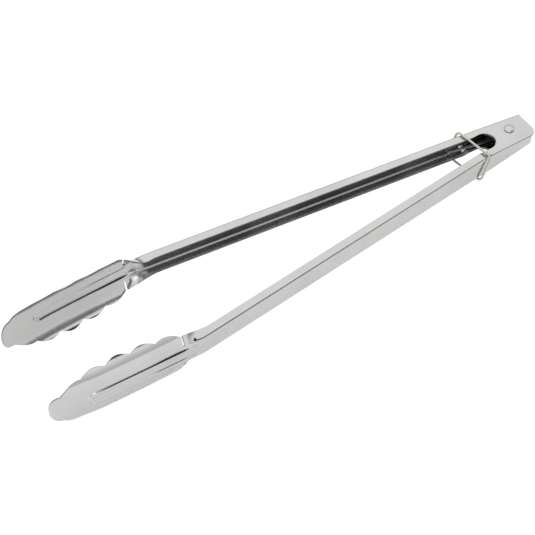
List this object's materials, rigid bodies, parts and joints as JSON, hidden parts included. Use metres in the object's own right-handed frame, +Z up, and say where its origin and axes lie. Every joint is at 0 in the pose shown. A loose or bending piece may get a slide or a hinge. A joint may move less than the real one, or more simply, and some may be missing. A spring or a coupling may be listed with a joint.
{
  "type": "spring loaded kitchen tongs",
  "caption": "Spring loaded kitchen tongs with channel section arms, scalloped spoon heads, a riveted hinge and a sliding wire lock ring.",
  "frame": {"origin": "bottom centre of the whole object's box, as the tongs lie on their side, open", "axes": "+X towards the hinge, -X towards the heads, +Z up along the rivet, +Y towards arm_a"},
  "size_m": [0.405, 0.0848, 0.0457],
  "materials": {
    "polished_steel": "bright polished stainless sheet with fine lengthwise polishing lines",
    "rivet_steel": "bright, lightly hammered dome",
    "spring_steel": "drawn spring wire, satin",
    "ring_wire": "bright drawn wire, faintly warm"
  },
  "bodies": {
    "arm_a": {"arm_a": "polished_steel", "pivot_rivet": "rivet_steel", "torsion_spring": "spring_steel"},
    "arm_b": {"arm_b": "polished_steel"},
    "lock_ring": {"lock_ring": "ring_wire"}
  },
  "joints": [
    {"name": "squeeze", "type": "hinge", "parent": "arm_a", "child": "arm_b", "pos_m": [0.18716, 0, 0.02284], "axis": [0, 0, -1], "range_deg": [0, 9.4], "stiffness_Nm_per_rad": 1.9, "springref_deg": -20.05, "deforming": ["torsion_spring"]},
    {"name": "ring_slide", "type": "slide", "parent": "arm_a", "child": "lock_ring", "axis": [1, 0, 0], "range_m": [0, 0.01]}
  ]
}
